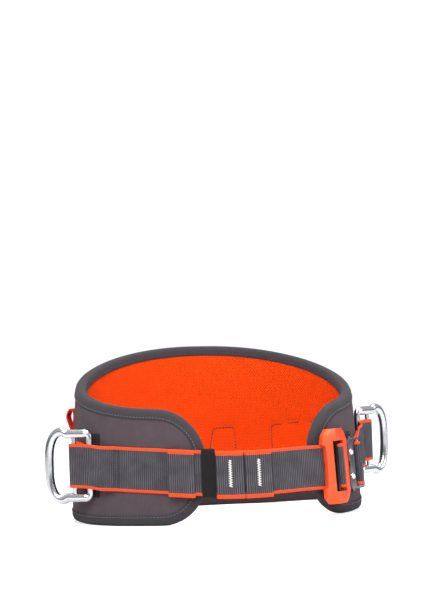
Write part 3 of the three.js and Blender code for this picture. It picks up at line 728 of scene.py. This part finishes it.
def padShell(name, outerSide, finish, nodes):
    # one padded side: its crowned face, a flat back inside the pad and the rim between them
    inset = pad["inset"]
    stations = padStations(inset)
    top, bottom = padEdges(stations, inset)
    shares = (1 - np.cos(np.linspace(0, math.pi, pad["rows"]))) / 2
    shares = 0.35 * shares + 0.65 * np.linspace(0, 1, pad["rows"])
    around = np.repeat(stations[:, None], pad["rows"], 1)
    height = bottom[:, None] + (top - bottom)[:, None] * shares
    edge = fromEdge(around, height)
    if outerSide:
        face = coverOffset(edge) + 0.15 * np.sin(around / 19 + height / 27) * (1 - np.exp(-edge / 14))
        face = np.minimum(face, 0.38)
        back = np.full_like(face, -pad["middle"])
    else:
        face = liningOffset(around, height, edge)
        back = np.full_like(face, -pad["middle"] - 0.1)
    sheetPoints = [onPad(around, offset, height).reshape(-1, 3) for offset in (face, back)]
    columns, rows = around.shape
    flat = np.stack([around.ravel(), height.ravel()], -1)
    total = columns * rows
    faces, corners = [], []
    for i in range(columns - 1):
        for j in range(rows - 1):
            quad = [i * rows + j, (i + 1) * rows + j, (i + 1) * rows + j + 1, i * rows + j + 1]
            faces += [quad, [total + v for v in reversed(quad)]]
            corners += [flat[v] for v in quad] + [flat[v] for v in reversed(quad)]
    rim = [i * rows for i in range(columns)] + [(columns - 1) * rows + j for j in range(1, rows)]
    rim += [i * rows + rows - 1 for i in range(columns - 2, -1, -1)] + [j for j in range(rows - 2, 0, -1)]
    for a, b in zip(rim, rim[1:] + rim[:1]):
        faces.append([b, a, total + a, total + b])
        corners += [flat[b], flat[a], flat[a], flat[b]]
    piece = meshPiece(name, np.concatenate(sheetPoints), faces, corners, finish, smooth=50)
    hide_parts(*nodes)


def makeEdgeTape():
    # tape folded over the pad's edge, with a line of stitches on each side
    tapeLook = {"width": 11, "wave": 0.12, "waveLength": 5.3, "stitchIn": 2.2, "stitchRise": 0.98}
    inner = tapeLook["width"]
    after, before = np.roll(outline, -1, 0), np.roll(outline, 1, 0)
    along = (after - before) / np.linalg.norm(after - before, axis=1, keepdims=True)
    inward = np.stack([along[:, 1], -along[:, 0]], -1)
    face = [(inner, 0.15), (inner - 0.25, 0.8), (inner - 1.0, 1.05), (inner - 3.5, 0.95)]
    face += [(5, 1.2), (2.4, 1.15), (0.9, 0.5)]
    thick = pad["thickness"]
    section = [(d, float(coverOffset(np.array(d))) + t) for d, t in face] + [(0.15, -3.7), (0.0, -thick / 2)]
    section += [(0.15, -thick + 3.7)]
    section += [(d, -thick - (float(coverOffset(np.array(d))) - 0.35) - t) for d, t in reversed(face)]
    section += [(inner, -thick + 1.6), (2.4, -thick + 3.6), (2.4, -3.6), (inner, -1.6)]
    section = np.array(section)
    wave = tapeLook["wave"] * np.sin(np.array(outlineLengths[:-1]) / tapeLook["waveLength"])
    rings = []
    for inset, offset in section:
        place = outline + inward * inset
        sway = wave * (1 if offset > 0 else -1) * (inset > 2)
        rings.append(onPad(place[:, 0], offset + sway, place[:, 1]))
    around = np.vstack([section, section[:1]])
    across = np.concatenate([[0], np.cumsum(np.linalg.norm(np.diff(around, axis=0), axis=1))])
    parts = loft(np.stack(rings, 1), outlineLengths, list(across), closed=True)
    tape = sewOn("edgeTape", parts, "binding")
    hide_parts("edge_binding")
    place = outline + inward * (inner - tapeLook["stitchIn"])
    place = np.vstack([place, place[:1]])
    level = float(coverOffset(np.array(inner - tapeLook["stitchIn"])))
    outer = level + tapeLook["stitchRise"]
    lining = -thick - level + 0.35 - tapeLook["stitchRise"]
    for name, sunk, side, thread in (("edgeStitchOuter", outer, 1, "paleThread"),
                                     ("edgeStitchInner", lining, -1, "darkThread")):
        points = onPad(place[:, 0], sunk, place[:, 1])
        sewOn(name, dashes(points, outwardAt(points) * side, 2.4, 1.1, 0.3), thread)


padShell("padCover", True, "pad_cover", ["outer_cover", "foam_core"])
padShell("meshLining", False, "mesh", ["mesh_lining"])
makeEdgeTape()
for number, line in enumerate(seamLines()):
    level = liningOffset(line[:, 0], line[:, 1], fromEdge(line[:, 0], line[:, 1]))
    points = onPad(line[:, 0], level - 0.1, line[:, 1])
    sewOn("liningSeam" + str(number), dashes(points, -outwardAt(points), 3.2, 0.3, 0.6), "seamThread")
print("pad made")


# patches and the back strap, sewn flat on the pad; the two black patches behind the rings are partly painted
# shade under them

def padSlab(name, node, finish, start, end, low, high, inner, outer, step=3):
    # a flat piece with soft edges that follows the waist
    stations = np.linspace(start, end, max(3, int(abs(end - start) / step) + 1))
    soft = min(0.5, (outer - inner) / 2)
    section = [(low, inner), (low, outer - soft), (low + soft, outer), ((low + high) / 2, outer + 0.05),
               (high - soft, outer), (high, outer - soft), (high, inner), ((low + high) / 2, inner)]
    rings = [[onPad(s, offset, height) for height, offset in section] for s in stations]
    vs = [h for h, offset in section] + [section[0][0]]
    piece = sewOn(name, loft(rings, list(stations), vs), finish)
    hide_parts(node)
    edge = 1.6
    near, far, foot, top = start + edge, end - edge, low + edge, high - edge
    corners = [(near, foot), (far, foot), (far, top), (near, top)]
    line = []
    for (a, h), (b, g) in zip(corners, corners[1:] + corners[:1]):
        line += [(a + (b - a) * t, h + (g - h) * t) for t in np.linspace(0, 1, 20, endpoint=False)]
    line = np.array(line)
    points = onPad(line[:, 0], outer + 0.02, line[:, 1])
    sewOn(name + "Stitch", dashes(points, outwardAt(points), 2.2, 1.0, 0.28), "darkThread")


# the ring patches are black sheets that also stand in for the shade under each ring's end bar: partly a real
# patch, partly painted shade, sized to that shade
padSlab("ringPatchAndShadeLeft", "ring_patch_left", "patch", -269, -249.5, -31, 33.5, 0.45, 1.3)
padSlab("ringPatchAndShadeRight", "ring_patch_right", "patch", 183.5, 209, -21.5, 46.5, 0.45, 1.3)
padSlab("bucklePatch", "buckle_patch", "patch", 268, 295, -30, 31, 0.45, 1.3)


def makeStrap(name, controls, nodes, body=None, blendOver=None, spacing=2.0, width=webbing["width"],
              start=0.0):
    path, us = smoothPath(controls, spacing)
    us = us + start   # the ribs run on from the strap before
    piece = meshPiece(name, *strapMesh(path, list(us), width), finish="webbing", body=body)
    if blendOver:
        first, second, near, far = blendOver
        [c * mm for c in near]
        [c * mm for c in far]
        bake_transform(piece)
    if nodes:
        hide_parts(*nodes)
    return path, us


backStations = np.linspace(-246.5, 179.5, 60)
makeStrap("backStrap", padPlaces([(s, 1.4) for s in backStations]), ["back_strap"], "belt")


def strapStitches(name, path, marks, finish="darkThread", body="belt", side=1, **look):
    # stitch lines on a strap's face, each mark [around, height] between straight runs
    centres, face, up = strapFrames(path)
    flat = centres[:, :2] - np.array(waist["middle"])
    angles = np.arctan2(flat[:, 0] / np.where(flat[:, 0] < 0, waist["leftHalf"], waist["rightHalf"]),
                        flat[:, 1] / waist["halfDepth"])
    around = np.interp(np.mod(angles, 2 * math.pi), planAngles, arcLengths)
    around = np.where(angles < 0, around - arcLengths[-1], around)
    order = np.argsort(around)
    parts = []
    for line in marks:
        places = []
        for (a, h), (b, g) in zip(line, line[1:]):
            places += [(a + (b - a) * t, h + (g - h) * t) for t in np.linspace(0, 1, 24)]
        where = np.array([a for a, h in places])
        heights = np.array([[h] for a, h in places])
        middle, edgewise, out = (
            np.stack([np.interp(where, around[order], values[order, c]) for c in range(3)], -1)
            for values in (centres, up, face * side))
        points = middle + edgewise * heights + out * (webbing["thickness"] / 2)
        parts.append(dashes(points, out, **look))
    return sewOn(name, addTogether(parts), finish, body)


# the side rings and the webbing that holds them

ring = {
    "armHalf": 32.3, "reach": 46, "shoulder": 34.8, "corner": 4, "armTo": 24, "bowFrom": 31, "seatHalf": 5,
    "secondBar": 17.5, "secondBarRadius": 2.4, "bar": 3.25, "arm": 4.7, "bow": 4.6, "sides": 28,
}
ringPlaces = {
    "left": {"around": -262.3, "offset": 7, "heading": 144.5, "lift": 1.5},
    "right": {"around": 199.4, "offset": 7.6, "heading": 31, "lift": 12.6},
}


def bezier(p0, p1, p2, p3, steps):
    t = np.linspace(0, 1, steps + 1)[1:, None]
    p0, p1, p2, p3 = (np.array(p, float) for p in (p0, p1, p2, p3))
    return p0 * (1 - t) ** 3 + 3 * p1 * t * (1 - t) ** 2 + 3 * p2 * t * t * (1 - t) + p3 * t**3


def halfRing():
    # the upper half of a ring's middle line: end bar, corner, arm, shoulder and bow
    half, reach, shoulder, corner = ring["armHalf"], ring["reach"], ring["shoulder"], ring["corner"]
    armTo, bowFrom = ring["armTo"], ring["bowFrom"]
    rise = np.linspace(0, half - corner, 12)
    turn = np.linspace(math.pi, math.pi / 2, 9)[1:]
    parts = [
        np.stack([np.zeros(12), rise], -1),
        np.stack([corner + corner * np.cos(turn), half - corner + corner * np.sin(turn)], -1),
        np.stack([np.linspace(corner, armTo, 10)[1:], np.full(9, half)], -1),
        bezier((armTo, half), (27, half), (28, shoulder), (bowFrom, shoulder), 8),
        bezier((bowFrom, shoulder), (40.5, shoulder), (reach, 24), (reach, ring["seatHalf"]), 24),
        np.array([[reach, 2.5]]),
    ]
    return np.concatenate(parts)


def makeRing(side, local):
    # a round bar swept along both halves, thinner at the end bar, and the second bar across it
    upper = halfRing()
    line = np.concatenate([upper, np.array([[ring["reach"], 0]]), (upper[1:] * [1, -1])[::-1]])
    along = np.roll(line, -1, 0) - np.roll(line, 1, 0)
    along /= np.linalg.norm(along, axis=1, keepdims=True)
    outwards = np.stack([along[:, 1], -along[:, 0]], -1)
    share = np.clip((line[:, 0] - 20) / 16, 0, 1)
    share = share * share * (3 - 2 * share)
    radius = ring["arm"] + (ring["bow"] - ring["arm"]) * share
    inBar = np.clip((4 - line[:, 0]) / 4, 0, 1)
    radius = radius - (ring["arm"] - ring["bar"]) * inBar
    angles = np.arange(ring["sides"]) * 2 * math.pi / ring["sides"]
    rings = []
    for point, out, size in zip(line, outwards, radius):
        flat = point + np.outer(np.cos(angles), out) * size
        places = [(x, size * math.sin(a), y) for (x, y), a in zip(flat, angles)]
        rings.append(inFrame(local, places))
    lengths = np.concatenate([[0], np.cumsum(np.linalg.norm(np.diff(line, axis=0), axis=1))])
    bow = loft(rings, list(lengths) + [lengths[-1] + 3], range(ring["sides"] + 1), closed=True)
    heights = np.linspace(-ring["armHalf"], ring["armHalf"], 8)
    bar = []
    for height in heights:
        bar.append(inFrame(local, [(ring["secondBar"] + ring["secondBarRadius"] * math.cos(a),
                                    ring["secondBarRadius"] * math.sin(a), height) for a in angles]))
    second = loft(bar, list(heights), range(ring["sides"] + 1))
    parts = addTogether([bow, second])
    piece = sewOn(side + "ringMetal", parts, "ring_metal", side + "_ring")
    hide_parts("ring_" + side)


ringFrames = {}
for side, place in ringPlaces.items():
    plan = planPoint(angleAt(place["around"]), place["offset"])
    level = float(strapHeight(place["around"])) + place["lift"]
    ringFrames[side] = frameAt(plan[0], plan[1], level, place["heading"], 0)
    makeRing(side, ringFrames[side])


def ringRun(local, side):
    # inner end, round the second bar, and out past the end bar
    fold = [(along, out * -side) for along, out in aroundBar(19, 3.4, 90, -90)]
    inner = [(2.5, -4.4 * side, -1.6), (6, -4.4 * side, -1.2)]   # the hidden run lies a little lower
    return framePlaces(local, [*inner, *fold, (6, 4.4 * side, -0.3), (-1.5, 4.4 * side, -0.9)], 0)


leftControls = ringRun(ringFrames["left"], -1) + padPlaces([(-277.3, 8.8), (-287.4, 3.6), (-294.8, 1.7)])
leftStart = inFrame(ringFrames["left"], [(-2, 0)])[0]
leftEnd = onPad(-287.4, 3.6, 0)
leftPath, leftLengths = makeStrap(
    "leftWebbing", leftControls, ["left_strap", "ring_loop_left"], spacing=1.6,
    blendOver=("left_ring", "belt", leftStart, leftEnd))


# the buckle's own frames, then the front strap through it

buckle = {
    "height": 51, "crease": (93.4, -98.9), "leftHeading": 23, "heading": 43.5,
    "mouth": 21.5, "strapBar": 25.5,
}
leftFrame = frameAt(*buckle["crease"], buckle["height"], buckle["leftHeading"], waist["flare"])
mainFrame = frameAt(*buckle["crease"], buckle["height"], buckle["heading"], waist["flare"])
mouth = inFrame(mainFrame, [(buckle["mouth"], 0)])[0] - np.array([*waist["middle"], 0])
receiverFrame = frameAt(*mouth, buckle["heading"], waist["flare"])


def smoothstep(value, low, high):
    t = np.clip((value - low) / (high - low), 0, 1)
    return t * t * (3 - 2 * t)


def strapRise(around):
    return 1.9 * smoothstep(-around, 410, 498) - 2.2 * smoothstep(-around, 330, 410)


def frontRun(places):
    return padPlaces([(a, offset, float(strapRise(a))) for a, offset in places])


# the strap between the left ring and the front
bridgeControls = padPlaces([(-295, 1.68), (-304, 1.45), (-323, 1.5), (-340, 2.1, -0.2), (-352, 2.9, -0.7)])
bridgeControls += frontRun([(-360, 3.4), (-369, 3.7), (-378, 3.7), (-385.8, 3.7)])
makeStrap(
    "bridgeWebbing", bridgeControls, [], start=leftLengths[-1],
    blendOver=("belt", "buckle_half", onPad(-299, 1.5, 0), onPad(-377, 3.7, 0)))
# out to the buckle's frame, round the slider and back over itself
frontControls = (
    frontRun([(a, 3.7) for a in (-386.3, -393, -400, -431, -461, -484)])
    + framePlaces(leftFrame, [(-17, -5.6), (-8, -5.7)])
    + framePlaces(
        mainFrame, [(1, -5.6), (4.6, -4.9), *aroundBar(7.2, 3.9, -75, 180), (2.9, -1.6), (1, -3.1)])
    + framePlaces(leftFrame, [(-8, -3.7), (-17, -3.7)])
    + frontRun([(a, 5.6) for a in (-484, -461, -431, -400, -374, -347.6)])
)
makeStrap("frontWebbing", frontControls, ["front_strap"], "buckle_half", spacing=1.6)

# the folded layers sewn on the front strap; they sit a little low and stick out past its edges
folds = {
    "stopA": [(-393.7, 6.9), (-393.6, 8.0), (-395.5, 8.8), (-400, 8.85), (-406.6, 8.2),
              (-413, 8.85), (-417.6, 8.8), (-419.6, 8.0), (-419.5, 6.9)],
    "stopB": [(-422.2, 6.9), (-422.1, 8.0), (-424, 8.8), (-429, 8.85), (-435.1, 8.2),
              (-441, 8.85), (-446, 8.8), (-448.2, 8.0), (-448.1, 6.9)],
    "foldedEnd": [(-347.3, 6.6), (-347, 7.1), (-348.6, 7.25), (-355, 7.15), (-365, 7.15),
                  (-370.5, 7.2), (-372, 6.8)],
}
foldDrop = 1.3
foldExtra = 2
for name, places in folds.items():
    sagging = [[x, y, z - foldDrop, lean] for x, y, z, lean in frontRun(places)]
    makeStrap(name, sagging, [], "buckle_half", spacing=1.0, width=webbing["width"] + foldExtra)


def barTack(name, around):
    # a zigzag of white thread through both layers, with a run up the middle
    tack = {"half": 1.7, "low": -13, "high": 13.8, "pitch": 1.15, "offset": 9.1}
    half, low, high = tack["half"], tack["low"], tack["high"]
    count = int((high - low) / tack["pitch"])
    line = []
    for k in range(count + 1):
        line.append((around + half * (1 if k % 2 else -1), low + (high - low) * k / count))
    lift = np.array([0, 0, float(strapRise(around))])
    dense = []
    for (a, h), (b, g) in zip(line, line[1:]):
        dense += [(a + (b - a) * t, h + (g - h) * t) for t in np.linspace(0, 1, 5, endpoint=False)]
    dense = np.array(dense)
    zigzag = onPad(dense[:, 0], tack["offset"], dense[:, 1]) + lift
    run = np.linspace(low, high, 12)
    middle = onPad(np.full(12, around), tack["offset"] - 0.1, run) + lift
    parts = addTogether([tube(zigzag, 0.42, 6), tube(middle, 0.5, 6)])
    sewOn(name, parts, "whiteThread", "buckle_half")


barTack("barTackA", -406.6)
barTack("barTackB", -435.1)


def makeKeeper():
    # a black elastic band round all the layers of the front strap
    keeper = {
        "from": -379, "to": -392.5, "inner": 2.55, "outer": 7.3, "high": 23.9, "corner": 1.6,
        "thickness": 0.8, "lift": -1.4,
    }
    corner = keeper["corner"]
    loop = []
    for cx, cy, start in ((keeper["outer"] - corner, keeper["high"] - corner, 0),
                          (keeper["inner"] + corner, keeper["high"] - corner, 90),
                          (keeper["inner"] + corner, corner - keeper["high"], 180),
                          (keeper["outer"] - corner, corner - keeper["high"], 270)):
        for a in np.radians(np.linspace(start, start + 90, 6)):
            loop.append((cx + corner * math.cos(a), cy + corner * math.sin(a), math.cos(a), math.sin(a)))
    dense = []
    for here, after in zip(loop, loop[1:] + loop[:1]):
        steps = 12 if abs(after[1] - here[1]) > 10 else 1
        dense += [tuple(h + (g - h) * t / steps for h, g in zip(here, after)) for t in range(steps)]
    half = keeper["thickness"] / 2
    start, end = keeper["from"], keeper["to"]
    middle = (start + end) / 2
    section = [(start, 0), (start - 0.4, half), (start - 3, half), (middle, half), (end + 3, half),
               (end + 0.4, half), (end, 0), (end + 0.4, -half), (middle, -half), (start - 0.4, -half)]
    rings = []
    for offset, height, outX, outY in dense:
        rings.append([onPad(s, offset + outX * t, height + outY * t + keeper["lift"]) for s, t in section])
    steps = [np.hypot(b[0] - a[0], b[1] - a[1]) for a, b in zip(dense, dense[1:] + dense[:1])]
    us = np.concatenate([[0], np.cumsum(steps)])
    parts = loft(rings, list(us), [s for s, t in section] + [start], closed=True)
    piece = sewOn("elasticKeeper", parts, "elastic", "buckle_half")
    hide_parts("elastic_keeper")


makeKeeper()

# two rows across the left strap, and a stitched arrowhead that points at its ring
strapStitches("leftStrapStitch", leftPath, [
    [(-291, 20), (-291, -20)], [(-294.4, 20), (-294.4, -20)],
    [(-290, 15), (-278.5, 1.5), (-290, -19)],
], length=2.2, gap=0.8, radius=0.45)

# from the right ring to the receiver's bar, round it and back under itself
rightControls = (
    ringRun(ringFrames["right"], 1)
    + padPlaces([(215.5, 8.8, 10.5), (223.4, 4.5, 8.7), (234, 3.2, 5.4), (246, 3.2, 2.4)])
    + framePlaces(receiverFrame, [
        (32, -3.6), (30, -1.9), *aroundBar(buckle["strapBar"], 3.6, 0, 180), (22.3, -2.6), (25, -4.9)])
    + padPlaces([(259, 1.4, -0.2), (245, 1.4, 2.4), (232, 1.4, 5.4)])
)
rightStart = inFrame(ringFrames["right"], [(-2, 0)])[0]
makeStrap(
    "rightWebbing", rightControls, ["right_strap", "ring_loop_right"], spacing=1.6,
    blendOver=("right_ring", "belt", rightStart, onPad(223.4, 4.5, 8.7)))
print("straps made")


# small tape loops for tools, behind each ring

def makeAccessoryLoop(name, node, around):
    loop = {"width": 19, "low": 28.5, "high": 51.5, "bulge": 8.6, "thickness": 1.4}
    low, high, bulge = loop["low"], loop["high"], loop["bulge"]
    profile = [(1.15, low), (1.15, low + 8), (1.15, high - 5), (2.6, high - 1), (5.6, high),
               (bulge - 1, high - 3), (bulge, high - 8), (6.4, low + 8), (3.2, low)]
    outward = onPad(around, 1.6, 0) - onPad(around, 0.6, 0)
    along = np.cross([0, 0, 1], outward)
    controls = [onPad(around, 0, height) + outward * out for out, height in profile]
    path, us = smoothPath(controls, 1.0)
    tangent = np.gradient(path, axis=0)
    face = np.cross(tangent, along)
    face /= np.linalg.norm(face, axis=1, keepdims=True)
    section = strapSection(loop["width"], loop["thickness"])
    rings = path[:, None] + along * section[None, :, :1] + face[:, None] * section[None, :, 1:]
    parts = loft(rings, list(us), list(section[:, 0]) + [section[0, 0]])
    piece = sewOn(name, parts, "loop_tape")
    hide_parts(node)


makeAccessoryLoop("accessoryLoopLeft", "accessory_loop_left", -184)
makeAccessoryLoop("accessoryLoopRight", "accessory_loop_right", 148)


# the buckle's hard pieces: copies of the frame's solids with merged faces and softened edges

def softenedCopy(name, node, body, finish, width, segments=3, angle=28):
    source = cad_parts[node]
    mesh = source.data.copy()
    mesh.materials.clear()
    mesh.materials.append(finishes[finish])
    piece = bpy.data.objects.new(name, mesh)
    bpy.context.scene.collection.objects.link(piece)
    bpy.ops.object.select_all(action="DESELECT")
    piece.select_set(True)
    bpy.context.view_layer.objects.active = piece
    bpy.ops.object.mode_set(mode="EDIT")
    bpy.ops.mesh.select_all(action="SELECT")
    bpy.ops.mesh.remove_doubles(threshold=0.00002)
    bpy.ops.mesh.dissolve_limited(angle_limit=math.radians(1.5))
    bpy.ops.mesh.normals_make_consistent(inside=False)
    bpy.ops.object.mode_set(mode="OBJECT")
    bevel = piece.modifiers.new("softEdges", "BEVEL")
    bevel.width = width * mm
    bevel.segments = segments
    bevel.limit_method = "ANGLE"
    bevel.angle_limit = math.radians(angle)
    bevel.use_clamp_overlap = True
    bpy.ops.object.modifier_apply(modifier=bevel.name)
    bpy.ops.object.shade_smooth_by_angle(angle=math.radians(40))
    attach(piece, body)
    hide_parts(node)
    return piece


softenedCopy("buckleFrame", "buckle_frame", "buckle_half", "orange_metal", 1.1, 4)
softenedCopy("buckleTongue", "buckle_tongue", "buckle_half", "grey_metal", 0.4)
softenedCopy("sliderBar", "slider_bar", "slider", "black_metal", 0.35)
softenedCopy("receiverBase", "receiver_base", "belt", "grey_metal", 0.3, 2)
softenedCopy("receiverCover", "receiver_cover", "belt", "grey_metal", 0.35)
for place, clipBody in (("upper", "clip_up"), ("lower", "clip_down")):
    softenedCopy("rivet" + place.title(), "rivet_" + place, "belt", "rivet_metal", 0.2, 2, 50)
    softenedCopy("clip" + place.title(), "clip_" + place, clipBody, "grey_metal", 0.25, 2)


def makeSpring(name, node, side):
    # wire wound on the clip's spring line
    spring = {"along": 10.4, "foot": 8.85, "length": 3.0, "radius": 0.85, "wire": 0.24, "turns": 6}
    turns = np.linspace(0, spring["turns"] * 2 * math.pi, spring["turns"] * 14)
    share = np.linspace(0, 1, len(turns))
    places = []
    for a, t in zip(turns, share):
        along = spring["along"] + spring["radius"] * math.cos(a)
        out = spring["radius"] * math.sin(a)
        places.append((along, out, side * (spring["foot"] + spring["length"] * t)))
    wire = tube(inFrame(receiverFrame, places), spring["wire"], 7)
    piece = sewOn(name, wire, "spring_metal")
    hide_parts(node)


makeSpring("springUpper", "spring_upper", 1)
makeSpring("springLower", "spring_lower", -1)
print("buckle made")

makeCamera()
makeStudio()
makeFloor()
print("scene ready")
